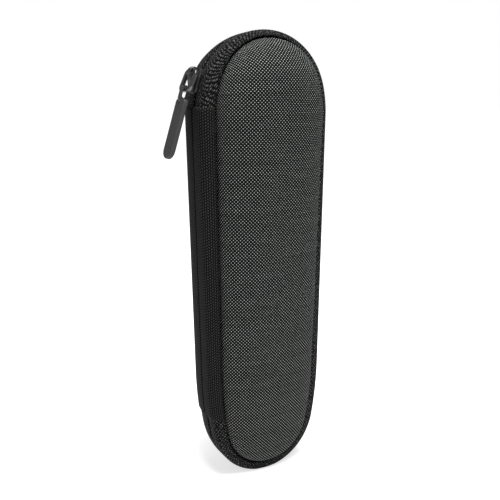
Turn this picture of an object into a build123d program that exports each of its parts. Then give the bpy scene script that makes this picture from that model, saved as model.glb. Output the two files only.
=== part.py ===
# Hard travel case for a trimmer, zipped round its rim and hinged along its left long side.
# Frame: millimetres, +Z up along the case, the domed front faces -Y, origin at the middle of the foot.
# Y = 0 is the girth, where the case is widest. The zip line and the hinge crease lie a little behind it.

from math import acos, atan2, cos, hypot, pi, radians, sin
import os

from build123d import *

# Outline of the girth, seen from the front
case_length = 196.0
half_width_top = 31.4
half_width_low = 28.9
top_lift = 3.8
low_reach = 50.9
top_shoulder_radius = 50.0
low_shoulder_radius = 154.0
foot_cut = 0.6
top_reach = half_width_top + top_lift

# Front half, depths measured forward from the girth
zip_set_back = 6.0
rim_inset = 0.5
groove_inset_side_top = 5.1
groove_inset_side_low = 4.7
groove_inset_top = 2.6
groove_inset_low = 3.7
groove_depth_top = 3.8
groove_depth_low = 1.9
groove_width = 0.9
groove_sunk = 1.4
dome_rise_top = 15.2
dome_rise_low = 5.7
dome_edge_run = 19.8

# Back half, depths measured backward from the zip line
back_wall_depth_top = 11.8
back_wall_depth_low = 11.1
back_wall_inset = 3.3
back_wall_mid_depth = 6.0
back_wall_mid_inset = 1.3
back_dome_rise = 4.6
back_dome_edge_run = 13.0

# Layers
cloth = 0.9
foam_wall = 3.0
lining = 0.6
flange_set_back = 4.8
edge_trim = 0.05
seam_gap = 0.75
skin_gap = 0.02

# Zip
tape_gap = 0.65
tape_thickness = 0.6
coil_width = 1.6
coil_height = 1.3
coil_offset = 0.25
zip_tuck = 8.0
stop_length = 2.4
stop_height = 0.9
stop_gap = 0.3

# Binding round the inside of each rim
binding_thickness = 0.45
binding_width = 1.6
binding_gap = 0.1
binding_inset = 2.2

# Spine panel that covers the hinge
spine_low = 29.3
spine_top_gap = 31.0
leaf_thickness = 0.92
crease_gap = 0.25
spine_high = case_length - spine_top_gap

# Strap across the back half
strap_width = 20.0
strap_thickness = 1.1
strap_height = 104.0
strap_depth = 5.4
strap_leg = 3.6
strap_seat = 0.05
anchor_width = 16.0
anchor_leg = 2.2
anchor_thickness = 0.5

# Slider, placed on the round top of the zip
slider_angle = 18.7
slider_length = 10.4
slider_half_width = 3.1
slider_corner = 1.8
slider_plate = 0.8
plate_clearance = 1.0
wing_clearance = 0.25
post_width = 0.9
post_length = 4.6
lip_height = 1.2
lip_thickness = 0.6

# Bridge over the slider
cap_low = 3.6
cap_high = 5.1
cap_width = 2.6
cap_wall = 0.6
cap_nose = 1.2
pawl_length = 2.8
pawl_width = 1.5
pawl_thickness = 0.5
pawl_clearance = 0.15

# Link and tab
pivot_shift = 3.3
pivot_height = 1.85
link_lean = 25.0
link_bar = 1.7
link_width = 9.4
link_span = 8.4
link_corner = 2.6
link_edge = 0.5
hole_clearance = 0.25
tab_lean = 17.8
tab_width = 7.5
tab_thickness = 2.0
tab_length = 24.9
tab_corner = 1.4
tab_edge = 0.5
eye_reach = 3.7
eye_wall = 0.95
eye_width = 1.5
eye_clearance = 0.2

crown_radius_top = (top_shoulder_radius + top_reach
                    - (top_shoulder_radius - half_width_top) ** 2 / (top_shoulder_radius - top_reach)) / 2
crown_height = case_length - crown_radius_top
zip_y = zip_set_back
nothing = (0.0, 0.0, 0.0, 0.0)
groove_edge = (groove_inset_side_top, groove_inset_side_low, groove_inset_top, groove_inset_low)


def grow(insets, amount):
    """Insets that are larger all round by one amount."""
    return tuple(inset + amount for inset in insets)


def share(insets, part):
    """A share of a set of insets."""
    return tuple(inset * part for inset in insets)


def outline(insets):
    """The case's outline drawn in by (side at the top, side below, top end, lower end), as a face."""
    side_top, side_low, end_top, end_low = insets
    wide = (half_width_top - side_top, half_width_low - side_low)
    reach = (top_reach - end_top, low_reach - end_low)
    shoulder = (top_shoulder_radius - side_top, low_shoulder_radius - side_low)
    crown = [(shoulder[i] + reach[i] - (shoulder[i] - wide[i]) ** 2 / (shoulder[i] - reach[i])) / 2
             for i in range(2)]
    level = (case_length - top_reach, low_reach - foot_cut)
    shoulders = [Vector(wide[i] - shoulder[i], level[i]) for i in range(2)]
    crowns = [Vector(0, level[0] + reach[0] - crown[0]), Vector(0, level[1] - reach[1] + crown[1])]
    meets = [atan2((crowns[i] - shoulders[i]).Y, (crowns[i] - shoulders[i]).X) for i in range(2)]
    step = shoulders[0] - shoulders[1]
    flat = atan2(step.Y, step.X) - acos((shoulder[1] - shoulder[0]) / step.length)

    def on(centre, radius, angle):
        return centre + Vector(radius * cos(angle), radius * sin(angle))

    arcs = [(crowns[0], crown[0], pi / 2, meets[0]), (shoulders[0], shoulder[0], meets[0], flat),
            (shoulders[1], shoulder[1], flat, meets[1]), (crowns[1], crown[1], meets[1], -pi / 2)]
    right = [ThreePointArc(on(c, r, a), on(c, r, (a + b) / 2), on(c, r, b)) for c, r, a, b in arcs]
    right.insert(2, Line(right[1] @ 1, right[2] @ 0))
    left = [edge.mirror(Plane.YZ) for edge in reversed(right)]
    return make_face(right + left)


def section(insets, y_top, y_low=None):
    """The outline on a plane at y_top at the top end of the case and y_low at its foot."""
    low = y_top if y_low is None else y_low
    slope = (y_top - low) / case_length
    plane = Plane(origin=(0, low, 0), x_dir=(1, 0, 0), z_dir=(0, -1, slope))
    return (plane * outline(insets)).face()


def ring(outer, inner, y_near, y_far):
    """A straight-walled ring between two insets and two depths."""
    plane = Plane(origin=(0, y_near, 0), x_dir=(1, 0, 0), z_dir=(0, -1, 0))
    face = plane * (outline(grow(nothing, outer)) - outline(grow(nothing, inner)))
    return extrude(face, y_near - y_far)


def front_band_sections(inward, start):
    """The front band's surface from the zip side round to the groove, moved in by one amount."""
    rows = [section(grow(nothing, rim_inset + inward), start)]
    rows.append(section(grow(nothing, inward), 0))
    for turn in (15, 30, 45, 60, 75, 90):
        near, far = cos(radians(turn)), sin(radians(turn))
        insets = grow(share(groove_edge, 1 - near), inward * near)
        rows.append(section(insets, -groove_depth_top * far + inward * far,
                            -groove_depth_low * far + inward * far))
    return rows


def dome_sections(inward, start=None):
    """The front dome's surface from the groove's floor to its crown, moved in by one amount."""
    base = grow(groove_edge, groove_width + inward)
    if start is None:
        rows = [section(base, groove_sunk - groove_depth_top, groove_sunk - groove_depth_low)]
    else:
        rows = [section(base, start)]
    rise = (dome_rise_top + dome_rise_low) / 2
    for turn in (6, 25, 45, 65, 90):
        near, far = cos(radians(turn)), sin(radians(turn))
        size = hypot(rise * near, dome_edge_run * far)
        extra = dome_edge_run * (1 - near) + inward * rise * near / size
        drop = inward * dome_edge_run * far / size
        insets = grow(groove_edge, groove_width + extra)
        rows.append(section(insets, -groove_depth_top - dome_rise_top * far + drop,
                            -groove_depth_low - dome_rise_low * far + drop))
    return rows


def back_wall_sections(inward, start):
    """The back wall's surface from the zip side to the back groove, moved in by one amount."""
    return [section(grow(nothing, rim_inset + inward), start),
            section(grow(nothing, back_wall_mid_inset + inward), zip_y + back_wall_mid_depth),
            section(grow(nothing, back_wall_inset + inward), zip_y + back_wall_depth_top,
                    zip_y + back_wall_depth_low)]


def back_dome_sections(inward):
    """The back panel's surface from its groove's floor to its middle, moved in by one amount."""
    edge = back_wall_inset + groove_width
    rows = [section(grow(nothing, edge + inward), zip_y + back_wall_depth_top - groove_sunk,
                    zip_y + back_wall_depth_low - groove_sunk)]
    for turn in (8, 30, 55, 90):
        near, far = cos(radians(turn)), sin(radians(turn))
        size = hypot(back_dome_rise * near, back_dome_edge_run * far)
        extra = back_dome_edge_run * (1 - near) + inward * back_dome_rise * near / size
        rise = back_dome_rise * far - inward * back_dome_edge_run * far / size
        rows.append(section(grow(nothing, edge + extra), zip_y + back_wall_depth_top + rise,
                            zip_y + back_wall_depth_low + rise))
    return rows


def tilted(y_top, y_low):
    """The plane at y_top at the top end of the case and y_low at its foot, facing forward."""
    return Plane(origin=(0, y_low, 0), x_dir=(1, 0, 0), z_dir=(0, -1, (y_top - y_low) / case_length))


def in_front(y_top, y_low=None):
    """All the space in front of a tilted plane."""
    plane = tilted(y_top, y_top if y_low is None else y_low)
    return extrude(plane * Rectangle(4 * case_length, 4 * case_length), case_length)


def behind(y_top, y_low=None):
    """All the space behind a tilted plane."""
    plane = tilted(y_top, y_top if y_low is None else y_low)
    return extrude(plane * Rectangle(4 * case_length, 4 * case_length), -case_length)


def straight(insets, y_near, y_far):
    """A straight block of the outline between two depths."""
    plane = Plane(origin=(0, y_near, 0), x_dir=(1, 0, 0), z_dir=(0, -1, 0))
    return extrude(plane * outline(insets), y_near - y_far)


def left_stretch(z_low, z_high):
    """The left side of the case between two heights."""
    return Pos(-case_length / 2 - half_width_low / 3, 0, (z_low + z_high) / 2) * Box(
        case_length, case_length, z_high - z_low)


layer = cloth + foam_wall + lining
above_foot = Pos(0, 0, case_length) * Box(2 * case_length, 2 * case_length, 2 * case_length)


# Front half
front_opening = straight(grow(groove_edge, -edge_trim), zip_y, -case_length)


def front_band_skin(inward, past=0.0):
    return loft(front_band_sections(inward, zip_y + past), ruled=True)


def front_dome_skin(inward):
    return loft(dome_sections(inward))


def front_hollow(inward):
    return loft(dome_sections(inward, zip_y), ruled=True)


def make_front_band():
    skin = (front_band_skin(0) & in_front(zip_y - seam_gap)) - front_band_skin(cloth, seam_gap)
    return (skin - front_opening) & above_foot


def make_front_cover():
    return front_dome_skin(0) - front_dome_skin(cloth)


def make_front_shell():
    wall = front_band_skin(cloth) & in_front(zip_y - flange_set_back)
    floor = in_front(groove_sunk - groove_depth_top, groove_sunk - groove_depth_low)
    wall -= front_opening & floor
    return wall + front_dome_skin(cloth) - front_hollow(cloth + foam_wall)


def brim(outer_inset, hollow, side):
    """The lining's flat edge on a flange, on the zip's side of it."""
    face = zip_y - side * flange_set_back
    plate = straight(grow(nothing, outer_inset), face + side * lining, face)
    return plate - hollow


def make_front_lining():
    hollow = front_hollow(layer)
    skin = (front_hollow(cloth + foam_wall) - hollow) & in_front(zip_y - flange_set_back)
    return skin + brim(binding_edge, hollow, 1)


# Back half
def back_wall_skin(inward, past=0.0):
    return loft(back_wall_sections(inward, zip_y - past))


def back_panel_skin(inward):
    return loft(back_dome_sections(inward))


def back_hollow(inward):
    """The hollow of the back half, from the zip line to the back panel's inner face."""
    rows = [section(grow(nothing, rim_inset + inward), zip_y),
            section(grow(nothing, back_wall_mid_inset + inward), zip_y + back_wall_mid_depth)]
    turn_in = foam_wall * 0.8 + (inward - cloth - foam_wall) / 2
    rows.append(section(grow(nothing, back_wall_inset + inward), zip_y + back_wall_depth_top - turn_in,
                        zip_y + back_wall_depth_low - turn_in))
    return loft(rows + back_dome_sections(inward)[-2:], ruled=True)


def make_back_band():
    skin = (back_wall_skin(0) & behind(zip_y + seam_gap)) - back_wall_skin(cloth, seam_gap)
    return skin & above_foot


def make_back_cover():
    return back_panel_skin(0) - back_panel_skin(cloth)


def make_back_shell():
    floor = in_front(zip_y + back_wall_depth_top - groove_sunk, zip_y + back_wall_depth_low - groove_sunk)
    wall = back_wall_skin(cloth) & behind(zip_y + flange_set_back) & floor
    return wall + back_panel_skin(cloth) - back_hollow(cloth + foam_wall)


def make_back_lining():
    hollow = back_hollow(layer)
    skin = (back_hollow(cloth + foam_wall) - hollow) & behind(zip_y + flange_set_back)
    return skin + brim(binding_edge, hollow, -1)


# Rims, zip and spine, one for each half: side is 1 on the front half and -1 on the back half
binding_edge = binding_inset + binding_width + binding_gap
coil_inset = rim_inset + cloth + skin_gap + tape_thickness + coil_offset
wing_inset = coil_inset + coil_height + wing_clearance


def make_binding(side):
    face = zip_y - side * flange_set_back
    return ring(binding_inset, binding_inset + binding_width, face + side * binding_thickness, face)


def make_front_tape():
    far = zip_y - flange_set_back + binding_thickness + skin_gap
    outer = front_band_skin(cloth + skin_gap) & in_front(zip_y - tape_gap) & behind(far)
    tape = outer - front_band_skin(cloth + skin_gap + tape_thickness, seam_gap)
    return tape - left_stretch(spine_low + zip_tuck, spine_high - zip_tuck)


def make_back_tape():
    far = zip_y + flange_set_back - binding_thickness - skin_gap
    outer = back_wall_skin(cloth + skin_gap) & behind(zip_y + tape_gap) & in_front(far)
    tape = outer - back_wall_skin(cloth + skin_gap + tape_thickness, seam_gap)
    return tape - left_stretch(spine_low + zip_tuck, spine_high - zip_tuck)


def make_coil(side):
    near = zip_y - side * tape_gap
    end = zip_tuck - stop_length - 2 * stop_gap
    hidden = left_stretch(spine_low + end, spine_high - end)
    return ring(coil_inset, coil_inset + coil_height, near, near - side * coil_width) - hidden


def make_stop(z_low):
    near = zip_y + tape_gap
    block = ring(coil_inset, coil_inset + stop_height, near, near + coil_width)
    return block & left_stretch(z_low, z_low + stop_length)


def make_front_leaf():
    leaf = (front_band_skin(-leaf_thickness) & in_front(zip_y - crease_gap)) - front_band_skin(0, seam_gap)
    return (leaf - front_opening) & left_stretch(spine_low, spine_high)


def make_back_leaf():
    leaf = (back_wall_skin(-leaf_thickness) & behind(zip_y + crease_gap)) - back_wall_skin(0, seam_gap)
    return leaf & left_stretch(spine_low, spine_high)


# Strap

def strap_slice(width, y_near, y_far):
    """The stretch of the case that the strap crosses."""
    return Pos(0, (y_near + y_far) / 2, strap_height) * Box(2 * case_length, y_far - y_near, width)


def make_strap():
    near = zip_y + strap_depth
    span = back_hollow(layer + strap_seat) & strap_slice(strap_width, near, near + strap_thickness)
    legs = back_hollow(layer + strap_seat) - back_hollow(layer + strap_seat + strap_thickness)
    return span + (legs & strap_slice(strap_width, near, near + strap_leg))


def make_anchor(side):
    near = zip_y + strap_depth + strap_thickness
    inner = layer + strap_seat + strap_thickness
    tabs = back_hollow(inner) - back_hollow(inner + anchor_thickness)
    tabs &= strap_slice(anchor_width, near, near + anchor_leg)
    return tabs & (Pos(side * case_length, 0, strap_height) * Box(2 * case_length, case_length, case_length))


# Slider, drawn at the top of the case with +X along the zip, then turned to its place
slider_place = Pos(0, zip_y, crown_height) * Rot(0, slider_angle - 90, 0)
cloth_radius = crown_radius_top - rim_inset
plate_radius = cloth_radius + plate_clearance
plate_top = plate_radius + slider_plate
wing_radius = crown_radius_top - wing_inset


def arc_plate(radius, thickness, half_width):
    """A plate that follows the zip's curve, rounded at its corners."""
    tube = Rot(90, 0, 0) * (Cylinder(radius + thickness, 4 * half_width) - Cylinder(radius, 4 * half_width))
    plan = extrude(RectangleRounded(slider_length, 2 * half_width, slider_corner), 2 * radius)
    return tube & plan


def make_slider_body():
    plate = arc_plate(plate_radius, slider_plate, slider_half_width)
    wing = arc_plate(wing_radius - slider_plate, slider_plate, slider_half_width)
    post_height = plate_radius - wing_radius + slider_plate
    post = Pos(0, 0, (plate_radius + wing_radius) / 2) * Box(post_length, post_width, post_height)
    lip = arc_plate(wing_radius - slider_plate, slider_plate + lip_height, slider_half_width)
    lip &= Pos(0, slider_half_width - lip_thickness / 2, 0) * Box(slider_length, lip_thickness, 4 * plate_top)
    return slider_place * (plate + wing + post + lip)


pivot_level = plate_top + pivot_height
hole_half = link_bar / 2 + hole_clearance
cap_top = pivot_level + link_bar / 2 + hole_clearance / 2 + cap_wall


def make_slider_cap():
    low = plate_radius
    profile = Polyline((-cap_low, low), (cap_high, low), (cap_high, cap_top - cap_nose),
                       (cap_high - cap_nose, cap_top), (pivot_shift - hole_half - cap_wall, cap_top),
                       (-cap_low, plate_top + pawl_thickness + cap_wall), close=True)
    side = Plane(origin=(0, cap_width / 2, 0), x_dir=(1, 0, 0), z_dir=(0, -1, 0))
    cap = extrude(side * make_face(profile), cap_width)
    hole_top = cap_top - cap_wall
    cap -= Pos(pivot_shift, 0, (low + hole_top) / 2) * Box(2 * hole_half, 2 * cap_width, hole_top - low)
    pocket = pawl_length + 2 * pawl_clearance
    cap -= Pos(pawl_place, 0, plate_top) * Box(pocket, pawl_width + 2 * pawl_clearance,
                                               2 * (pawl_thickness + pawl_clearance))
    cap -= Rot(90, 0, 0) * Cylinder(plate_top, 4 * cap_width)
    return slider_place * cap


pawl_place = pivot_shift - hole_half - cap_wall - pawl_length / 2


def make_slider_pawl():
    tube = Rot(90, 0, 0) * (Cylinder(plate_top + pawl_thickness, cap_width) - Cylinder(plate_top, cap_width))
    return slider_place * (tube & Pos(pawl_place, 0, plate_top) * Box(pawl_length, pawl_width, cap_width))


link_turn = radians(link_lean)
tab_turn = radians(tab_lean)
pivot = (slider_place * Pos(pivot_shift, 0, pivot_level)).position
eye_centre = pivot + Vector(-sin(link_turn), 0, -cos(link_turn)) * link_span


def hanging(origin, lean):
    """A plane in a hanging piece: its x runs along +Y and its y runs up the piece."""
    return Plane(origin=origin, x_dir=(0, 1, 0), z_dir=(cos(lean), 0, -sin(lean)))


def make_pull_link():
    outer = RectangleRounded(link_width, link_span + link_bar, link_corner)
    inner = RectangleRounded(link_width - 2 * link_bar, link_span - link_bar, link_corner - link_bar)
    flat = Pos(0, -link_span / 2, -link_bar / 2) * extrude(outer - inner, link_bar)
    flat = fillet(flat.edges(), link_edge)
    return hanging(pivot, link_turn) * flat


def make_pull_tab():
    top = -eye_reach
    blade = Pos(0, top - tab_length / 2) * RectangleRounded(tab_width, tab_length, tab_corner)
    blade -= Pos(0, top - tab_length + tab_width / 4) * Rectangle(tab_width, tab_width / 2)
    tip = Pos(0, top - tab_length + tab_width / 2) * Circle(tab_width / 2)
    blade = Pos(0, 0, -tab_thickness / 2) * extrude(blade + tip, tab_thickness)
    blade = fillet(blade.edges(), tab_edge)
    gap = link_bar / 2 + eye_clearance
    eye_low = top - tab_edge * 3
    frame = Plane(origin=(eye_width / 2, 0, 0), x_dir=(0, 0, 1), z_dir=(-1, 0, 0))
    eye_high = gap + eye_wall
    outer = Pos(0, (eye_high + eye_low) / 2) * RectangleRounded(2 * (gap + eye_wall), eye_high - eye_low,
                                                                gap + eye_wall - 0.05)
    inner = Pos(0, (gap + top + tab_edge) / 2) * RectangleRounded(2 * gap, gap - top - tab_edge, gap - 0.05)
    eye = extrude(frame * outer, eye_width) - extrude(frame * inner, eye_width)
    return hanging(eye_centre, tab_turn) * (blade + eye)


parts = {
    "front_shell": make_front_shell(),
    "front_cover": make_front_cover(),
    "front_band": make_front_band(),
    "front_lining": make_front_lining(),
    "front_binding": make_binding(1),
    "front_zip_tape": make_front_tape(),
    "front_zip_coil": make_coil(1),
    "spine_front_leaf": make_front_leaf(),
    "back_shell": make_back_shell(),
    "back_cover": make_back_cover(),
    "back_band": make_back_band(),
    "back_lining": make_back_lining(),
    "back_binding": make_binding(-1),
    "back_zip_tape": make_back_tape(),
    "back_zip_coil": make_coil(-1),
    "spine_back_leaf": make_back_leaf(),
    "zip_stop_upper": make_stop(spine_high - zip_tuck + stop_gap),
    "zip_stop_lower": make_stop(spine_low + zip_tuck - stop_gap - stop_length),
    "holding_strap": make_strap(),
    "strap_anchor_left": make_anchor(-1),
    "strap_anchor_right": make_anchor(1),
    "slider_body": make_slider_body(),
    "slider_cap": make_slider_cap(),
    "slider_pawl": make_slider_pawl(),
    "pull_link": make_pull_link(),
    "pull_tab": make_pull_tab(),
}

os.makedirs("parts", exist_ok=True)
for name, shape in parts.items():
    export_step(shape, f"parts/{name}.step")
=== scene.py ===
from math import acos, atan2, cos, hypot, pi, radians, sin

import bpy
import numpy as np
from mathutils import Matrix, Vector


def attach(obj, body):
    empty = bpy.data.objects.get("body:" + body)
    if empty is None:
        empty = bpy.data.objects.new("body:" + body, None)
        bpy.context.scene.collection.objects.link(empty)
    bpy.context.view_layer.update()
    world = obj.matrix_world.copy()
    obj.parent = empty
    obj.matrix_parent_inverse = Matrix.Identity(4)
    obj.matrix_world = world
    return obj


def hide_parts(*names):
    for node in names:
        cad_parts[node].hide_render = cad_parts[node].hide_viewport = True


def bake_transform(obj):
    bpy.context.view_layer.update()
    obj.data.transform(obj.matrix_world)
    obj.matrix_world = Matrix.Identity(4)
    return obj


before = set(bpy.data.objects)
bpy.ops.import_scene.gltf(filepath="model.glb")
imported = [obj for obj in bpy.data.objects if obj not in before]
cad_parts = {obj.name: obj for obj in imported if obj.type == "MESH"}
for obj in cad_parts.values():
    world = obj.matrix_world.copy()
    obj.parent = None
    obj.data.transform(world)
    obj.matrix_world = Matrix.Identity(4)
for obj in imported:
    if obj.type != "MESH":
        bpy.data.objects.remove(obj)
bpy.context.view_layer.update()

MM = 0.001

# The case's own sizes in mm, the same as in the part's source. A pair is for the top and the foot, and the
# groove's four edges are the side at the top and at the foot, then the two ends.
case_length = 196.0
half_width = (31.4, 28.9)
reach = (35.2, 50.9)
shoulder_radius = (50.0, 154.0)
foot_cut = 0.6
zip_y = 6.0
rim_inset = 0.5
seam_gap = 0.75
groove_edge = np.array((5.1, 4.7, 2.6, 3.7))
groove_depth = (3.8, 1.9)
groove_width = 0.9
dome_rise = (15.2, 5.7)
dome_run = 19.8
back_depth = (11.8, 11.1)
back_inset = 3.3
back_middle_depth = 6.0
back_middle_inset = 1.3
back_rise = 4.6
back_run = 13.0
layers = 4.5
flange = 4.8
spine_low = 29.3
spine_high = case_length - 31.0
leaf = 0.92
zip_tuck = 8.0
stop_length = 2.4
stop_gap = 0.3
strap_height = 104.0
strap_half_width = 10.0

# Thickness of each cloth in mm
cover_cloth = 0.8
band_cloth = 0.6
lining_thickness = 0.45
strip_cloth = 0.5
strap_elastic = 0.9
tab_cloth = 0.45

# How far hidden edges run on: a cover's under its groove, the coil's and its cord's under the spine panel
cover_tuck = 1.3
coil_tuck = zip_tuck - stop_length - 2 * stop_gap
cord_tuck = coil_tuck + 0.2

even = np.ones(4)
halves = ((1, "front_half", "front"), (-1, "back_half", "back"))


# Outline of the case

def circle_pair(i, insets):
    """Crown and shoulder arcs of one end: 0 is the top, 1 the foot."""
    side, end = insets[i], insets[2 + i]
    wide, far = half_width[i] - side, reach[i] - end
    shoulder = shoulder_radius[i] - side
    crown = (shoulder + far - (shoulder - wide) ** 2 / (shoulder - far)) / 2
    level = (case_length - reach[0], reach[1] - foot_cut)[i]
    return (wide - shoulder, level, shoulder), (0.0, level + (far - crown) * (1, -1)[i], crown)


def outline(insets, counts=(26, 14, 40, 16, 26)):
    """Points of the outline drawn in by a set of insets, from the foot up the right side and down the left.

    Each point has its x and z and the direction that it faces. The counts are for the crown at the top, its
    shoulder, the straight side, the shoulder at the foot and the crown at the foot.
    """
    (sx0, sz0, sr0), (cx0, cz0, cr0) = circle_pair(0, insets)
    (sx1, sz1, sr1), (cx1, cz1, cr1) = circle_pair(1, insets)
    top_meet = atan2(cz0 - sz0, cx0 - sx0)
    low_meet = atan2(cz1 - sz1, cx1 - sx1)
    flat = atan2(sz0 - sz1, sx0 - sx1) - acos((sr1 - sr0) / hypot(sx0 - sx1, sz0 - sz1))

    def arc(x, z, r, start, finish, count):
        turn = np.linspace(start, finish, count, endpoint=False)
        return np.column_stack((x + r * np.cos(turn), z + r * np.sin(turn), np.cos(turn), np.sin(turn)))

    crown_top = arc(cx0, cz0, cr0, top_meet, pi / 2, counts[0])
    shoulder_top = arc(sx0, sz0, sr0, flat, top_meet, counts[1])
    shoulder_low = arc(sx1, sz1, sr1, low_meet, flat, counts[3])
    crown_low = arc(cx1, cz1, cr1, -pi / 2, low_meet, counts[4])
    start = np.array((sx1 + sr1 * cos(flat), sz1 + sr1 * sin(flat)))
    step = (shoulder_top[0, :2] - start) / counts[2]
    side = np.array([(*(start + step * k), cos(flat), sin(flat)) for k in range(counts[2])])
    right = np.vstack((crown_low, shoulder_low, side, shoulder_top, crown_top))
    top = np.array([[0.0, cz0 + cr0, 0.0, 1.0]])
    left = right[:0:-1] * (-1, 1, -1, 1)
    return np.vstack((right, top, left))


def ring(insets, y_top, y_low):
    """One ring of points on the plane at y_top at the case's top and y_low at its foot."""
    flat = outline(insets)
    depth = y_low + (y_top - y_low) * flat[:, 1] / case_length
    return np.column_stack((flat[:, 0], depth, flat[:, 1]))


def left_x(insets, height):
    """Where the left side of an outline is at a height."""
    flat = outline(insets, (60, 60, 60, 60, 60))
    left = flat[len(flat) // 2:]
    order = np.argsort(left[:, 1])
    return np.interp(height, left[order, 1], left[order, 0])


def lengths(track):
    """The way along a run of points from its start to each of them."""
    return np.concatenate(([0], np.cumsum(np.linalg.norm(np.diff(track, axis=0), axis=1))))


# Profiles: each row is (insets, y at the top, y at the foot)

def level_row(inset, y):
    return even * inset, y, y


def front_side_inset(y):
    return rim_inset * abs(y / zip_y) ** 1.5


def back_side_inset(u):
    """The back wall's inset at a depth behind the zip: a parabola from the rim through its middle."""
    mid, far = back_middle_depth, back_depth[0]
    return (rim_inset * (u - mid) * (u - far) / (mid * far)
            + back_middle_inset * u * (u - far) / (mid * (mid - far))
            + back_inset * u * (u - mid) / (far * (far - mid)))


def seam_rows(side, steps):
    """The edge of a band that is turned in beside the zip, from (inset, way from the seam) steps."""
    return [level_row(inset, zip_y - side * (seam_gap + way)) for inset, way in steps]


def groove_rows(edge, y_top, y_low, inward, steps):
    """The wall and floor of a cover's groove, from (inset, depth) steps beyond its edge."""
    return [(edge + inset, y_top + inward * depth, y_low + inward * depth) for inset, depth in steps]


def front_corner(turn):
    """Insets and depths of the rounded front corner after a turn from the side toward the groove."""
    c, s = cos(radians(turn)), sin(radians(turn))
    return groove_edge * (1 - c), -groove_depth[0] * s, -groove_depth[1] * s


def front_band_rows():
    """From the seam forward over the side, round the corner and into the dome's groove."""
    rows = seam_rows(1, ((1.42, 0.8), (1.4, 0.2), (1.2, 0.0), (0.8, 0.0), (0.56, 0.12)))
    rows += [level_row(front_side_inset(y), y) for y in (4.7, 4.0, 3.0, 2.0, 1.0, 0.0)]
    rows += [front_corner(turn) for turn in (8, 16, 24, 32, 40, 48, 56, 64, 72, 80, 86)]
    wall = ((-0.02, 0.05), (0.15, 0.25), (0.22, 0.7), (0.26, 1.2), (0.45, 1.35), (0.95, 1.38))
    return rows + groove_rows(groove_edge, -groove_depth[0], -groove_depth[1], 1, wall)


def back_band_rows():
    """From the seam back over the side and into the groove round the back's panel."""
    rows = seam_rows(-1, ((1.5, 0.8), (1.42, 0.2), (1.22, 0.0), (0.82, 0.0), (0.6, 0.12)))
    for share in (0.12, 0.22, 0.34, 0.46, 0.58, 0.7, 0.8, 0.88, 0.94, 0.98):
        u = back_depth[0] * share
        rows.append((even * back_side_inset(u), zip_y + u, zip_y + back_depth[1] * share))
    wall = ((0.12, 0.0), (0.25, 0.15), (0.3, 0.7), (0.45, 1.35), (0.95, 1.38))
    return rows + groove_rows(even * back_inset, zip_y + back_depth[0], zip_y + back_depth[1], -1, wall)


def moulded_rows(base, depths, outward, run, rises, turns, inward):
    """A moulded face's quarter ellipses, from its edge to its top, drawn in by the layers over them."""
    mean = sum(rises) / 2
    rows = []
    for turn in turns:
        c, s = cos(radians(turn)), sin(radians(turn))
        size = hypot(mean * c, run * s)
        extra = run * (1 - c) + inward * mean * c / size
        drop = inward * run * s / size
        y_top, y_low = (depth + outward * (rise * s - drop) for depth, rise in zip(depths, rises))
        rows.append((base + extra, y_top, y_low))
    return rows


def front_dome_rows(inward=0.0):
    turns = (0, 4, 9, 15, 21, 28, 35, 42, 49, 56, 63, 70, 77, 84, 90)
    depths = (-groove_depth[0], -groove_depth[1])
    return moulded_rows(groove_edge + groove_width, depths, -1, dome_run, dome_rise, turns, inward)


def back_panel_rows(inward=0.0):
    turns = (0, 5, 11, 18, 26, 35, 44, 54, 64, 74, 82, 90)
    base = even * (back_inset + groove_width)
    depths = (zip_y + back_depth[0], zip_y + back_depth[1])
    return moulded_rows(base, depths, 1, back_run, (back_rise, back_rise), turns, inward)


# Pieces

def make_active(piece):
    bpy.ops.object.select_all(action="DESELECT")
    piece.select_set(True)
    bpy.context.view_layer.objects.active = piece


def edit(piece, *steps):
    """Runs operators on a piece in edit mode, all of it selected at first."""
    make_active(piece)
    bpy.ops.object.mode_set(mode="EDIT")
    bpy.ops.mesh.select_all(action="SELECT")
    for operator, settings in steps:
        operator(**settings)
    bpy.ops.object.mode_set(mode="OBJECT")


all_selected = (bpy.ops.mesh.select_all, {"action": "SELECT"})
none_selected = (bpy.ops.mesh.select_all, {"action": "DESELECT"})
by_edges = (bpy.ops.mesh.select_mode, {"type": "EDGE"})
welded = (bpy.ops.mesh.remove_doubles, {"threshold": 2e-6})
faces_out = (bpy.ops.mesh.normals_make_consistent, {"inside": False})


def laid(along, across):
    """Cloth coordinates from the lengths along the rows and across them."""
    return np.stack(np.broadcast_arrays(np.array(along)[None, :], np.array(across)[:, None]), axis=2)


def grid(name, points, uv, weld=True):
    """A grid primitive whose rows of vertices are moved onto the given points."""
    down, across = points.shape[0] - 1, points.shape[1] - 1
    bpy.ops.object.select_all(action="DESELECT")
    bpy.ops.mesh.primitive_grid_add(x_subdivisions=across, y_subdivisions=down, size=1)
    piece = bpy.context.object
    piece.name = piece.data.name = name
    mesh = piece.data
    raw = np.empty(len(mesh.vertices) * 3)
    mesh.vertices.foreach_get("co", raw)
    raw = raw.reshape(-1, 3)
    column = np.rint((raw[:, 0] + 0.5) * across).astype(int)
    row = np.rint((raw[:, 1] + 0.5) * down).astype(int)
    mesh.vertices.foreach_set("co", (points[row, column] * MM).ravel())
    corner = np.empty(len(mesh.loops), int)
    mesh.loops.foreach_get("vertex_index", corner)
    mesh.uv_layers[0].data.foreach_set("uv", (uv[row[corner], column[corner]] * MM).ravel())
    mesh.update()
    if weld:
        edit(piece, welded)
    return piece


def thicken(piece, thickness):
    """Gives a sheet its cloth thickness, on the side away from its faces' normals."""
    make_active(piece)
    cloth = piece.modifiers.new("cloth", "SOLIDIFY")
    cloth.thickness = thickness * MM
    cloth.offset = -1.0
    bpy.ops.object.modifier_apply(modifier=cloth.name)


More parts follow.
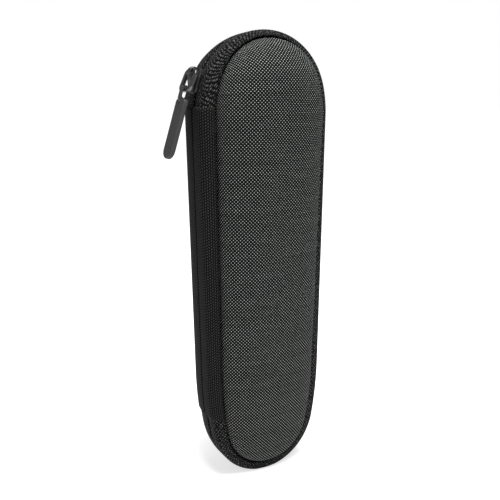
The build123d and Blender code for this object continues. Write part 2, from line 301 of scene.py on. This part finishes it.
def turn_to(piece, toward):
    """Turns the sheet's faces over unless most of them look along the given field."""
    mesh = piece.data
    look = sum(polygon.area * polygon.normal.dot(toward(polygon.center)) for polygon in mesh.polygons)
    if look < 0:
        mesh.flip_normals()


def smooth(piece, angle):
    make_active(piece)
    bpy.ops.object.shade_smooth_by_angle(angle=radians(angle))


def draped(points, rows):
    """Cloth coordinates of a moulded sheet: straight yarns that run on down the sides by true length."""
    flat = outline(rows[-1][0])
    facing = np.vstack((flat, flat[:1]))[:, 2:4]
    uv = np.empty(points.shape[:2] + (2,))
    uv[-1] = points[-1][:, (0, 2)]
    for k in range(len(points) - 2, -1, -1):
        step = np.linalg.norm(points[k] - points[k + 1], axis=1)
        uv[k] = uv[k + 1] + facing * step[:, None]
    return uv


def lofted(name, rows, foot=True, moulded=False, closed=False):
    """A skin through rows of the outline. Its cloth runs round the case, or is draped where it is moulded."""
    rings = [ring(*row) for row in rows]
    if closed:
        rings.append(rings[0])
    points = np.array([np.vstack((loop, loop[:1])) for loop in rings])
    if foot:
        points[:, :, 2] = np.maximum(points[:, :, 2], 0.0)
    if moulded:
        return grid(name, points, draped(points, rows))
    middle, right_side = points[len(points) // 2], points[:, points.shape[1] // 4]
    return grid(name, points, laid(lengths(middle), lengths(right_side)))


def domed(name, rows):
    """A moulded cloth cover with a closed middle."""
    skin = lofted(name, rows, foot=False, moulded=True)
    edit(skin, by_edges, none_selected)
    rim = {tuple(np.round(place * MM, 6)) for place in ring(*rows[-1])}
    inner = {vertex.index for vertex in skin.data.vertices if tuple(np.round(vertex.co, 6)) in rim}
    for edge in skin.data.edges:
        edge.select = edge.vertices[0] in inner and edge.vertices[1] in inner
    bpy.ops.object.mode_set(mode="EDIT")
    bpy.ops.mesh.edge_face_add()
    bpy.ops.object.mode_set(mode="OBJECT")
    flat_uv = skin.data.uv_layers[0].data
    cap = max(skin.data.polygons, key=lambda polygon: polygon.loop_total)
    for corner in cap.loop_indices:
        place = skin.data.vertices[skin.data.loops[corner].vertex_index].co
        flat_uv[corner].uv = (place.x, place.z)
    return skin


def bead(segments, rings):
    """Points and faces of a round bead."""
    bpy.ops.object.select_all(action="DESELECT")
    bpy.ops.mesh.primitive_uv_sphere_add(segments=segments, ring_count=rings, radius=1)
    ball = bpy.context.object
    points = np.array([vertex.co for vertex in ball.data.vertices])
    faces = [tuple(polygon.vertices) for polygon in ball.data.polygons]
    bpy.data.objects.remove(ball)
    return points, faces


def copies(name, shape, faces, places):
    """One mesh with a copy of a shape at each place, which is a spot and the shape's three directions."""
    bpy.ops.object.select_all(action="DESELECT")
    bpy.ops.mesh.primitive_plane_add(size=1)
    piece = bpy.context.object
    piece.name = piece.data.name = name
    points, polygons = [], []
    for k, (spot, directions) in enumerate(places):
        points.append(np.array(spot) + shape @ np.array(directions))
        polygons += [tuple(k * len(shape) + index for index in face) for face in faces]
    piece.data.clear_geometry()
    piece.data.from_pydata((np.vstack(points) * MM).tolist(), [], polygons)
    edit(piece, faces_out)
    smooth(piece, 60)
    return piece


def dress(piece, material):
    piece.data.materials.clear()
    piece.data.materials.append(material)


def finish_piece(piece, body, material, slot, *nodes):
    dress(piece, material)
    if nodes:
        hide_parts(*nodes)
    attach(piece, body)


# Materials

class Wire:
    """A shader value that takes part in Python sums."""

    def __init__(self, nodes, socket):
        self.nodes = nodes
        self.socket = socket

    def __add__(self, other):
        return self.nodes.sum("ADD", self, other)

    def __sub__(self, other):
        return self.nodes.sum("SUBTRACT", self, other)

    def __mul__(self, other):
        return self.nodes.sum("MULTIPLY", self, other)

    def __rsub__(self, other):
        return self.nodes.sum("SUBTRACT", other, self)

    __radd__ = __add__

    def outputs(self, *names):
        """Outputs of the node that this value comes from, by name or number."""
        return [Wire(self.nodes, self.socket.node.outputs[name]) for name in names]


class Nodes:
    """The nodes of one material or world."""

    def __init__(self, owner, output="ShaderNodeOutputMaterial"):
        self.owner = owner
        owner.use_nodes = True
        self.tree = owner.node_tree
        self.tree.nodes.clear()
        self.output = self.tree.nodes.new(output)

    def node(self, kind, settings=None, sockets=None, out=0):
        made = self.tree.nodes.new(kind)
        for key, value in (settings or {}).items():
            setattr(made, key, value)
        for key, value in (sockets or {}).items():
            if isinstance(value, Wire):
                self.tree.links.new(value.socket, made.inputs[key])
            else:
                made.inputs[key].default_value = value
        return Wire(self, made.outputs[out])

    def sum(self, operation, *values):
        return self.node("ShaderNodeMath", {"operation": operation}, dict(enumerate(values)))

    def mix(self, share, first, second):
        colours = {6: opaque(first), 7: opaque(second)}
        return self.node("ShaderNodeMix", {"data_type": "RGBA"}, {0: share, **colours}, out=2)

    def ramp(self, value, low, high, to_low, to_high):
        """A soft step from one value to another."""
        sockets = {"Value": value, "From Min": low, "From Max": high, "To Min": to_low, "To Max": to_high}
        return self.node("ShaderNodeMapRange", {"interpolation_type": "SMOOTHSTEP"}, sockets)

    def noise(self, place, scale, detail=3.0, rough=0.55, out=0):
        return self.node("ShaderNodeTexNoise", {}, {"Vector": place, "Scale": scale, "Detail": detail,
                                                    "Roughness": rough}, out)

    def cloth_place(self):
        return self.node("ShaderNodeTexCoord", out=2)

    def object_place(self):
        return self.node("ShaderNodeTexCoord", out=3)

    def parts_of(self, vector):
        return self.node("ShaderNodeSeparateXYZ", {}, {0: vector}).outputs(0, 1, 2)

    def surface(self, colour, roughness, bump, depth, strength, **fixed):
        """The finished material: its colour, roughness and a bump of a depth in metres."""
        relief = self.node("ShaderNodeBump", {}, {"Height": bump, "Distance": depth, "Strength": strength})
        sockets = {"Base Color": opaque(colour), "Roughness": roughness, "Normal": relief}
        sockets.update({key.replace("_", " "): value for key, value in fixed.items()})
        return self.show(self.node("ShaderNodeBsdfPrincipled", {}, sockets))

    def show(self, shader):
        self.tree.links.new(shader.socket, self.output.inputs["Surface"])
        return self.owner


def opaque(colour):
    return (*colour, 1.0) if isinstance(colour, tuple) else colour


def grey(level):
    return level, level, level


def new_material(name):
    return Nodes(bpy.data.materials.new(name))


def plain_weave(name, pitch, warp, weft, gap, painted_light_power, stray=0.35, stray_scale=260.0):
    """Plain weave: warp yarns run up the cloth and weft yarns across it, over and under by turns."""
    f = new_material(name)
    uneven, low = 0.3, 0.18
    place = f.cloth_place()
    drift = f.noise(place, stray_scale, 2.0, 0.5, out=1)
    u, v, _ = f.parts_of(place)
    drift_u, drift_v, _ = f.parts_of(drift)
    a = u * (1 / pitch) + (drift_u - 0.5) * stray
    b = v * (1 / pitch) + (drift_v - 0.5) * stray
    column, line = f.sum("FLOOR", a), f.sum("FLOOR", b)
    fa, fb = (a - column) * 2 - 1, (b - line) * 2 - 1
    bow_a, bow_b = 1 - fa * fa, 1 - fb * fb
    over = f.sum("FLOORED_MODULO", column + line, 2.0)
    warp_height = bow_a * (bow_b * over * (1 - low) + low)
    weft_height = bow_b * (bow_a * (1 - over) * (1 - low) + low)
    height = f.sum("MAXIMUM", warp_height, weft_height)
    is_warp = f.sum("GREATER_THAN", warp_height, weft_height)
    yarn_number = f.node("ShaderNodeCombineXYZ", {}, {0: column * is_warp, 1: line * (1 - is_warp)})
    strand = f.node("ShaderNodeTexWhiteNoise", {"noise_dimensions": "2D"}, {"Vector": yarn_number})
    fleck = f.noise(place, 900.0, 2.0)
    shade = (strand - 0.5) * uneven + (fleck - 0.5) * (1.6 * uneven) + 1
    yarn = f.mix(is_warp, weft, warp)
    # Painted light: each yarn's colour falls off by a power of its height, a painted highlight on the crests
    # and painted shade down the flanks. The gap colour is partly the holes' own dark and partly painted
    # shade.
    lit = f.mix(f.sum("POWER", height, painted_light_power) * shade, gap, yarn)
    return f.surface(lit, 0.88, height, 0.00014, 0.9, Specular_IOR_Level=0.1)


def herringbone(name, pitch, run, dark, light):
    """Fine twill of short floats whose slant turns at every run."""
    f = new_material(name)
    place = f.cloth_place()
    drift = (f.noise(place, 300.0, 2.0) - 0.5) * pitch * 0.4
    u, v, _ = f.parts_of(place)
    zig = f.sum("PINGPONG", v, run)
    line = f.sum("FRACT", (u + zig * 0.9 + drift) * (1 / pitch)) * 2 - 1
    float_end = f.sum("FRACT", (v + drift) * (1.25 / pitch)) * 2 - 1
    height = (1 - line * line) * (1 - float_end * float_end * 0.75)
    fleck = f.noise(place, 1400.0, 2.0)
    # Painted light: the colour follows each float's height to a high power, a painted highlight on the floats
    # and painted shade between them. The flecks vary it at random.
    lit = f.sum("POWER", height, 4.5) * (fleck * 1.4 + 0.3)
    return f.surface(f.mix(lit, dark, light), 0.85, height, 0.00008, 0.8, Specular_IOR_Level=0.08)


def ribbed(name, pitch, dark, light, along=0):
    """Cloth tape with ribs across it."""
    f = new_material(name)
    place = f.cloth_place()
    wave = f.sum("FRACT", f.parts_of(place)[along] * (1 / pitch)) * 2 - 1
    height = 1 - wave * wave
    fleck = f.noise(place, 1100.0)
    # Painted light: the colour follows the rib's height, a painted highlight on each rib and painted shade in
    # the grooves. The flecks vary it at random.
    lit = f.sum("POWER", height, 1.8) * (fleck * 1.1 + 0.3)
    return f.surface(f.mix(lit, dark, light), 0.8, height + fleck * 0.25, 0.0001, 0.8,
                     Specular_IOR_Level=0.12)


def brushed_lining(name, dark, light):
    """Knitted lining with a brushed nap: fine pile, soft streaks and a few pressed patches."""
    f = new_material(name)
    place = f.object_place()
    pile = f.noise(place, 1700.0, 4.0, 0.7)
    drawn = f.node("ShaderNodeMapping", {}, {"Vector": place, "Scale": (1.0, 1.0, 0.22)})
    streak = f.noise(drawn, 900.0, 3.0, 0.6)
    patch = f.noise(place, 60.0)
    nap = f.sum("POWER", pile * 0.45 + streak * 0.4 + patch * 0.35, 2.4)
    return f.surface(f.mix(nap * 1.5, dark, light), 0.95, pile + streak, 0.0002, 0.8,
                     Specular_IOR_Level=0.08, Sheen_Weight=0.06, Sheen_Roughness=0.6)


def plated_metal(name, plated, rubbed):
    """Dark plated zinc, rubbed a little where hands reach it."""
    f = new_material(name)
    place = f.object_place()
    grain = f.noise(place, 5200.0, 2.0, 0.5)
    rub = f.ramp(f.noise(place, 420.0, 4.0, 0.6), 0.52, 0.72, 0.0, 1.0)
    return f.surface(f.mix(rub, plated, rubbed), 0.22 + grain * 0.14 - rub * 0.05, grain, 0.00001, 0.3,
                     Metallic=0.85)


def moulded_rubber(name, dark, light):
    f = new_material(name)
    place = f.object_place()
    grain = f.noise(place, 3800.0, 3.0, 0.6)
    patch = f.noise(place, 130.0, 2.0)
    return f.surface(f.mix(patch * 0.6 + grain * 0.2, dark, light), 0.55 + grain * 0.12, grain, 0.00002, 0.5,
                     Specular_IOR_Level=0.4)


def nylon(name, dark, light):
    f = new_material(name)
    cloud = f.noise(f.object_place(), 900.0, 2.0)
    return f.surface(f.mix(cloud, dark, light), 0.48 + cloud * 0.14, cloud, 0.00001, 0.3,
                     Specular_IOR_Level=0.2)


def moulded_foam(name, dark, light):
    f = new_material(name)
    cells = f.node("ShaderNodeTexVoronoi", {}, {"Vector": f.object_place(), "Scale": 2600.0})
    return f.surface(f.mix(cells, dark, light), 0.9, cells, 0.00006, 0.6)


grey_weave = plain_weave("grey_weave", 0.00074, (0.005, 0.0053, 0.0049), (0.50, 0.535, 0.505), grey(0.001),
                         painted_light_power=4.2)
# The black cloth's light weft colour is painted highlight on its weft floats; the cloth itself is black.
black_weave = plain_weave("black_weave", 0.00085, grey(0.003), (0.155, 0.155, 0.156), grey(0.001),
                          painted_light_power=3.2, stray=2.0, stray_scale=900.0)
# The light colours of these twills and ribbed tapes are the painted highlight on their floats and ribs; the
# cloths themselves are near black.
spine_weave = herringbone("spine_weave", 0.0012, 0.0042, grey(0.0006), (0.062, 0.062, 0.063))
zip_cloth = herringbone("zip_cloth", 0.0008, 0.0016, grey(0.002), (0.090, 0.090, 0.092))
lining_cloth = brushed_lining("lining_cloth", (0.004, 0.004, 0.0042), (0.062, 0.062, 0.065))
binding_cloth = ribbed("binding_cloth", 0.0011, grey(0.003), (0.060, 0.060, 0.062))
elastic_knit = ribbed("elastic_knit", 0.0013, grey(0.004), (0.110, 0.110, 0.112), along=1)
anchor_cloth = ribbed("anchor_cloth", 0.0009, grey(0.003), (0.055, 0.055, 0.057))
coil_nylon = nylon("coil_nylon", (0.012, 0.012, 0.013), (0.03, 0.03, 0.032))
thread = nylon("thread", (0.02, 0.02, 0.021), (0.05, 0.05, 0.052))
gunmetal = plated_metal("gunmetal", (0.095, 0.095, 0.100), (0.24, 0.24, 0.245))
pull_rubber = moulded_rubber("pull_rubber", (0.024, 0.024, 0.0245), (0.041, 0.041, 0.042))
foam = moulded_foam("foam", grey(0.012), grey(0.028))

# Solids of the frame that are shown as they are
shown = {"front_shell": foam, "back_shell": foam, "pull_link": gunmetal, "pull_tab": pull_rubber}
for node, material in shown.items():
    dress(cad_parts[node], material)


# Outer cloth of the two halves

def away_from_core(y):
    """A field that points away from the case's long middle line at a depth."""
    core_low, core_high = 0.05, 0.165

    def field(place):
        height = min(max(place.z, core_low), core_high)
        return Vector((place.x, place.y - y * MM, place.z - height))
    return field


def toward_core(y):
    outward = away_from_core(y)
    return lambda place: -outward(place)


def sheet(skin, thickness, toward, angle, body, material, slot, node):
    """Finishes a skin as one sheet of cloth, with its face on the side that the field names."""
    turn_to(skin, toward)
    thicken(skin, thickness)
    smooth(skin, angle)
    finish_piece(skin, body, material, slot, node)


def cover(name, rows, *finish):
    """A heather cover, which starts under the floor of its groove."""
    base, y_top, y_low = rows[0]
    inward = 1 if y_top < zip_y else -1
    start = [(base, y_top + inward * cover_tuck, y_low + inward * cover_tuck)]
    sheet(domed(name, start + rows), cover_cloth, *finish)


cover("front_dome_cloth", front_dome_rows(), away_from_core(4), 35,
      "front_half", grey_weave, "grey_weave", "front_cover")
cover("back_panel_cloth", back_panel_rows(), away_from_core(8), 35,
      "back_half", grey_weave, "grey_weave", "back_cover")
sheet(lofted("front_band_cloth", front_band_rows()), band_cloth, away_from_core(3), 50,
      "front_half", black_weave, "black_weave", "front_band")
sheet(lofted("back_band_cloth", back_band_rows()), band_cloth, away_from_core(11), 50,
      "back_half", black_weave, "black_weave", "back_band")


# Lining, binding and zip tape of the two halves

def front_lining_rows():
    """From under the binding, over the flange and into the dome."""
    face = zip_y - flange + 0.6
    mouth = groove_edge + groove_width + layers
    rows = [level_row(3.9, face - 0.3), level_row(4.0, face), level_row(4.4, face)]
    rows += [(mouth - 0.6, face, face), (mouth - 0.2, face - 0.12, face - 0.12),
             (mouth, face - 0.6, face - 0.6), (mouth, face - 2.5, face - 2.2)]
    return rows + front_dome_rows(layers)[2:]


def back_lining_rows():
    """From under the binding, over the flange, down the wall and over the floor of the base."""
    face = zip_y + flange - 0.6
    mouth = back_side_inset(flange) + layers
    rows = [level_row(inset, face + depth) for inset, depth in
            ((3.9, 0.3), (4.0, 0), (4.6, 0), (mouth - 0.4, 0), (mouth - 0.1, 0.15), (mouth + 0.05, 0.6))]
    for u in (6.3, 7.6, 8.6):
        inset = back_side_inset(u) + layers + max(u - 7.0, 0) * 0.3
        rows.append((even * inset, zip_y + u, zip_y + u - 0.4))
    return rows + back_panel_rows(layers)[4:]


sheet(domed("front_lining_cloth", front_lining_rows()), lining_thickness, toward_core(5), 40,
      "front_half", lining_cloth, "lining_cloth", "front_lining")
sheet(domed("back_lining_cloth", back_lining_rows()), lining_thickness, toward_core(7), 40,
      "back_half", lining_cloth, "lining_cloth", "back_lining")


def flat_section(inset_a, inset_b, y_a, y_b, round_off=0.12):
    """Corners of a flat section, as (inset, y), with its edges taken off."""
    cut = round_off * np.sign(y_b - y_a)
    near, far = inset_a + round_off, inset_b - round_off
    return [(near, y_a), (far, y_a), (inset_b, y_a + cut), (inset_b, y_b - cut),
            (far, y_b), (near, y_b), (inset_a, y_b - cut), (inset_a, y_a + cut)]


def binding_tape(side, body, half):
    """The woven tape over the rim of a half, all round it."""
    edge_a, edge_b, thickness, round_off = 2.2, 3.85, 0.5, 0.15
    face = zip_y - side * flange
    section = flat_section(edge_a, edge_b, face + side * thickness, face, round_off)
    tape = lofted(half + "_binding_tape", [level_row(*corner) for corner in section], foot=False, closed=True)
    edit(tape, faces_out)
    smooth(tape, 60)
    finish_piece(tape, body, binding_cloth, "binding_tape", half + "_binding")


for side, body, half in halves:
    binding_tape(side, body, half)


def open_ring(name, section, tuck, body, material, slot, *nodes):
    """A band that stops under the spine panel, with closed ends."""
    low, high = spine_low + tuck, spine_high - tuck
    heights = outline(even * section[0][0])[:, 1]
    half = len(heights) // 2
    left = range(half, len(heights))
    order = [k for k in left if heights[k] < low] + list(range(half)) + [k for k in left if heights[k] > high]
    rows = []
    for inset, y in section + section[:1]:
        loop = outline(even * inset)[order]
        track = np.column_stack((loop[:, 0], np.full(len(order), y), loop[:, 1]))
        ends = [np.array([[left_x(even * inset, height), y, height]]) for height in (low, high)]
        rows.append(np.vstack((ends[0], track, ends[1])))
    points = np.array(rows)
    band = grid(name, points, laid(lengths(points[0]), lengths(points[:, 5])))
    edit(band, by_edges, none_selected, (bpy.ops.mesh.select_non_manifold, {}),
         (bpy.ops.mesh.edge_face_add, {}), all_selected, faces_out)
    smooth(band, 60)
    finish_piece(band, body, material, slot, *nodes)


def tape_section(side):
    """The zip tape's section: it follows the inside of the band from the coil to the binding."""
    gap, thickness = 0.93, 0.58
    depths = (0.65, 1.6, 2.8, 4.3)

    def wall(u):
        return (front_side_inset(zip_y - u) if side > 0 else back_side_inset(u)) + gap

    outer = [(wall(u), zip_y - side * u) for u in depths]
    inner = [(wall(u) + thickness, zip_y - side * u) for u in reversed(depths)]
    return outer + inner


for side, body, half in halves:
    open_ring(half + "_zip_tape_cloth", tape_section(side), zip_tuck, body, zip_cloth, "zip_tape",
              half + "_zip_tape")


# Coil: one tooth modelled, then copied along each row

tooth_pitch = 1.5
coil_inset = 3.0
coil_from_middle = 1.05


def one_tooth():
    """A loop of coil: a flattened bead with a blunt head at the zip's middle line."""
    half_thick, half_long, half_deep = 0.5, 1.45, 0.58
    ball, faces = bead(10, 7)
    y = ball[:, 1]
    blunt = np.where(y > 0, 1 + 0.3 * y, 1 - 0.1 * y)
    return np.column_stack((ball[:, 0] * half_thick * blunt, y * half_long, ball[:, 2] * half_deep)), faces


tooth_points, tooth_faces = one_tooth()


def coil_path():
    """Places along the zip between the panel's ends, as points of the outline, and the way to each."""
    flat = outline(even * coil_inset, (120, 80, 160, 80, 120))
    half = len(flat) // 2
    left = range(half, len(flat))
    order = ([k for k in left if flat[k, 1] < spine_low + coil_tuck] + list(range(half))
             + [k for k in left if flat[k, 1] > spine_high - coil_tuck])
    return flat[order], lengths(flat[order][:, :2])


def coil_row(side, body, half):
    """The teeth of one half, half a pitch on from the other half's."""
    track, way = coil_path()
    offset = 0.25 if side > 0 else 0.75
    stations = np.arange(offset, way[-1] / tooth_pitch - 0.3) * tooth_pitch
    spots = np.column_stack([np.interp(stations, way, track[:, k]) for k in range(4)])
    places = [((x, zip_y - side * coil_from_middle, z), ((-nz, 0, nx), (0, side, 0), (nx, 0, nz)))
              for x, z, nx, nz in spots]
    row = copies(half + "_coil_teeth", tooth_points, tooth_faces, places)
    finish_piece(row, body, coil_nylon, "zip_coil", half + "_zip_coil")


def coil_cord(side, body, half):
    """The cord inside a row, which its loops are wound on."""
    half_deep, from_middle, to_tape = 0.28, 0.3, 1.4
    section = flat_section(coil_inset - half_deep, coil_inset + half_deep, zip_y - side * from_middle,
                           zip_y - side * to_tape)
    open_ring(half + "_coil_cord", section, cord_tuck, body, coil_nylon, "zip_coil")


for side, body, half in halves:
    coil_row(side, body, half)
for side, body, half in halves:
    coil_cord(side, body, half)


# Spine panel: one strip of cloth from groove to groove, bent at its crease

def panel_profile():
    """(insets, y at the top, y at the foot, how far the outside looks sideways and along Y)."""
    rows = []
    for turn in (88, 84, 78, 70, 62, 54, 46, 38, 30, 22, 14, 7, 0):
        rows.append((*front_corner(turn), cos(radians(turn)), -sin(radians(turn))))
    for y in (1.0, 2.0, 3.0, 4.0, 4.6, 5.0, 5.3, 5.6, 5.8, 6.0):
        rows.append((*level_row(front_side_inset(y), y), 1.0, 0.0))
    for u in (0.2, 0.4, 0.7, 1.0, 1.5, 2.2, 3.2, 4.4, 5.6, 6.8, 8.0, 9.2, 10.2, 11.0, 11.5):
        slope = (back_side_inset(u + 0.05) - back_side_inset(u - 0.05)) / 0.1
        size = hypot(1, slope)
        y_low = zip_y + back_depth[1] * u / back_depth[0]
        rows.append((even * back_side_inset(u), zip_y + u, y_low, 1 / size, slope / size))
    return rows


def spine_panel():
    """Lies on the side as thick as a leaf, with pressed edges, a ridge at its upper hem and a crease."""
    edge, pressed = 1.3, 0.16
    ridge_height, ridge_from_end, ridge_width = 0.18, 1.5, 0.5
    crease_depth, crease_width = 0.62, 0.55
    profile = panel_profile()
    hem = edge * np.array((0, 0.15, 0.35, 0.6, 0.85, 1.1))
    heights = np.concatenate((spine_low + hem, np.linspace(spine_low + 2.2, spine_high - 2.2, 84),
                              spine_high - hem[::-1]))
    lift_end = np.clip(np.minimum(heights - spine_low, (spine_high - heights) * 1.6) / edge, 0, 1)
    lift_end = pressed + (1 - pressed) * np.sin(lift_end * pi / 2)
    ridge = ridge_height * np.exp(-((heights - (spine_high - ridge_from_end)) / ridge_width) ** 2)
    points = np.empty((len(profile), len(heights), 3))
    for j, (insets, y_top, y_low, sideways, along_y) in enumerate(profile):
        y_at = y_low + (y_top - y_low) * heights / case_length
        crease = crease_depth * np.exp(-((y_at - zip_y) / crease_width) ** 2)
        border = (0.25, 0.7, 0.95, 1.0)[min(j, len(profile) - 1 - j, 3)]
        lift = (leaf * border * lift_end + ridge) * (1 - crease)
        x_at = left_x(insets, heights)
        points[j] = np.column_stack((x_at - sideways * lift, y_at + along_y * lift, heights))
    strip = grid("spine_panel_cloth", points, laid(heights, lengths(points[:, 40])), weld=False)
    turn_to(strip, away_from_core(6))
    thicken(strip, strip_cloth)
    smooth(strip, 50)
    dress(strip, spine_weave)
    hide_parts("spine_front_leaf", "spine_back_leaf")
    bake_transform(strip)


spine_panel()


# Strap and its stitched tabs

def holding_strap():
    """Elastic across the back half: slightly bowed, with its ends turned down the walls."""
    depth, bow = 11.45, 0.3
    wall = back_side_inset(6.5) + layers + 0.1
    half = -left_x(even * wall, strap_height) - 0.35
    turned_end = [(-half + 0.1, 14.9), (-half, 13.6), (-half + 0.02, 12.4), (-half + 0.25, 11.8),
                  (-half + 0.8, 11.5)]
    profile = list(turned_end)
    for share in np.linspace(-0.9, 0.9, 19):
        profile.append((half * share, depth + bow * (1 - share * share)))
    profile += [(-x, y) for x, y in reversed(turned_end)]
    shares = np.array((-1, -0.98, -0.9, -0.6, -0.3, 0, 0.3, 0.6, 0.9, 0.98, 1))
    droop = (0.12, 0.02, 0, 0, 0, 0, 0, 0, 0, 0.02, 0.12)
    heights = strap_height + strap_half_width * shares
    points = np.array([[(x, y + drop, height) for x, y in profile] for height, drop in zip(heights, droop)])
    elastic = grid("holding_strap_elastic", points, laid(lengths(points[5]), heights), weld=False)
    sheet(elastic, strap_elastic, lambda place: Vector((0, -1, 0)), 50,
          "back_half", elastic_knit, "strap_elastic", "holding_strap")


def strap_tab(side, word):
    """A stitched tab over one end of the strap, on the wall of the back half."""
    tab_half_width = 8.0
    stitch_size, stitch_depth, first, last, apart = (0.85, 0.22, 0.2), 13.5, 97.5, 111.0, 2.2
    wall = back_side_inset(7.2) + layers + 1.55
    x = -left_x(even * wall, strap_height)
    heights = strap_height + tab_half_width * np.array((-1, -0.97, -0.5, 0, 0.5, 0.97, 1))
    depths = (12.45, 12.6, 13.2, 13.8, 14.4, 14.6)
    points = np.array([[(side * (x - 0.02 * abs(height - strap_height)), depth, height) for depth in depths]
                       for height in heights])
    tab = grid("strap_tab_" + word, points, laid(depths, heights), weld=False)
    sheet(tab, tab_cloth, lambda place: Vector((-side, 0, 0)), 50,
          "back_half", anchor_cloth, "strap_anchor", "strap_anchor_" + word)
    ball, faces = bead(6, 5)
    places = [((side * (x - 0.25), stitch_depth, height), ((0, 0, 1), (0, -side, 0), (side, 0, 0)))
              for height in np.arange(first, last, apart)]
    stitches = copies("tab_stitches_" + word, ball * stitch_size, faces, places)
    finish_piece(stitches, "back_half", thread, "strap_anchor")


holding_strap()
strap_tab(-1, "left")
strap_tab(1, "right")


# Metal parts of the zip: copies of the solids with their outer edges broken

def broken_edges(node, width, segments, body):
    """Only edges that stick out are broken, so that no inner corner is filled."""
    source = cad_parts[node]
    piece = source.copy()
    piece.data = source.data.copy()
    piece.name = piece.data.name = node + "_finished"
    for key in list(piece.keys()):
        del piece[key]
    piece.parent = None
    piece.matrix_world = Matrix.Identity(4)
    bpy.context.scene.collection.objects.link(piece)
    edit(piece, (bpy.ops.mesh.remove_doubles, {"threshold": 1e-6}),
         (bpy.ops.mesh.dissolve_limited, {"angle_limit": radians(2)}),
         (bpy.ops.mesh.customdata_custom_splitnormals_clear, {}))
    beside = {}
    for polygon in piece.data.polygons:
        for key in polygon.edge_keys:
            beside.setdefault(key, []).append(polygon)
    outer = piece.data.attributes.new("bevel_weight_edge", "FLOAT", "EDGE")
    for edge in piece.data.edges:
        one, other = beside[edge.key][0], beside[edge.key][-1]
        bent = one.normal.angle(other.normal, 0.0) > radians(35)
        outer.data[edge.index].value = float(bent and (other.center - one.center).dot(one.normal) < 0)
    bevel = piece.modifiers.new("edges", "BEVEL")
    bevel.width = width * MM
    bevel.segments = segments
    bevel.limit_method = "WEIGHT"
    bevel.use_clamp_overlap = True
    bpy.ops.object.modifier_apply(modifier=bevel.name)
    smooth(piece, 50)
    finish_piece(piece, body, gunmetal, "gunmetal", node)


broken_edges("slider_body", 0.22, 3, "slider")
broken_edges("slider_cap", 0.3, 3, "slider")
broken_edges("slider_pawl", 0.08, 2, "slider")
broken_edges("zip_stop_upper", 0.15, 2, "back_half")
broken_edges("zip_stop_lower", 0.15, 2, "back_half")


# Floor, light and camera

def studio_floor():
    """White floor. The camera sees it glow a little, less so near the case, and the shadow stays soft."""
    near, far = 0.03, 0.13
    glow_near, glow_far, glow_share = 2.75, 3.9, 0.25
    f = new_material("studio_floor")
    camera_ray, glossy_ray, clear_ray = f.node("ShaderNodeLightPath").outputs(
        "Is Camera Ray", "Is Glossy Ray", "Is Transmission Ray")
    seen = f.sum("MAXIMUM", f.sum("MAXIMUM", camera_ray, glossy_ray), clear_ray)
    plain = f.node("ShaderNodeBsdfDiffuse", {}, {"Color": opaque(grey(0.93))})
    distance = f.node("ShaderNodeVectorMath", {"operation": "LENGTH"}, {0: f.object_place()}, out=1)
    strength = f.ramp(distance, near, far, glow_near, glow_far)
    glow = f.node("ShaderNodeEmission", {}, {"Color": (1, 1, 1, 1), "Strength": strength})
    return f.show(f.node("ShaderNodeMixShader", {}, {0: seen * glow_share, 1: plain, 2: glow}))


def studio_world():
    """Soft even light, with a white background where the camera sees past the floor."""
    light_level, shown_level = 0.24, 1.0
    f = Nodes(bpy.data.worlds.new("studio"), "ShaderNodeOutputWorld")
    camera_ray, clear_ray = f.node("ShaderNodeLightPath").outputs("Is Camera Ray", "Is Transmission Ray")
    level = f.node("ShaderNodeMapRange", {}, {"Value": f.sum("MAXIMUM", camera_ray, clear_ray),
                                              "To Min": light_level, "To Max": shown_level})
    return f.show(f.node("ShaderNodeBackground", {}, {"Color": (1, 1, 1, 1), "Strength": level}))


def soft_lamp(name, place, aim, size, power):
    light = bpy.data.lights.new(name, "AREA")
    light.shape = "SQUARE"
    light.size = size
    light.energy = power
    lamp = bpy.data.objects.new(name, light)
    bpy.context.scene.collection.objects.link(lamp)
    lamp.location = place
    lamp.rotation_euler = (Vector(aim) - Vector(place)).to_track_quat("-Z", "Y").to_euler()


def photo_camera():
    """The photo's view, aimed at half the case's height."""
    azimuth, elevation, distance, aim = radians(-33.0), radians(12.6), 0.365, 0.098
    lens_pixels, picture_pixels, sensor = 830.0, 500.0, 36.0
    data = bpy.data.cameras.new("photo_camera")
    data.sensor_width = sensor
    data.lens = lens_pixels * sensor / picture_pixels
    data.shift_x = -0.0304
    data.shift_y = 0.0206
    data.clip_start = 0.01
    camera = bpy.data.objects.new("photo_camera", data)
    bpy.context.scene.collection.objects.link(camera)
    back = Vector((sin(azimuth) * cos(elevation), -cos(azimuth) * cos(elevation), sin(elevation)))
    camera.location = Vector((0, 0, aim)) + back * distance
    camera.rotation_euler = (-back).to_track_quat("-Z", "Y").to_euler()
    return camera


# The floor lies a little under the case's foot
floor_drop = 0.00005
bpy.ops.object.select_all(action="DESELECT")
bpy.ops.mesh.primitive_plane_add(size=6, location=(0, 0, -floor_drop))
floor = bpy.context.object
floor.name = "floor"
floor.data.transform(floor.matrix_world)
floor.matrix_world = Matrix.Identity(4)
floor.data.materials.append(studio_floor())

bpy.context.scene.world = studio_world()
soft_lamp("over_front", (-0.03, -0.22, 0.84), (0, 0, 0.11), 0.4, 11.0)
soft_lamp("left_front", (-0.6, -0.35, 0.3), (0, 0, 0.1), 0.5, 0.2)
bpy.context.scene.camera = photo_camera()
bpy.context.scene.view_settings.view_transform = "Standard"
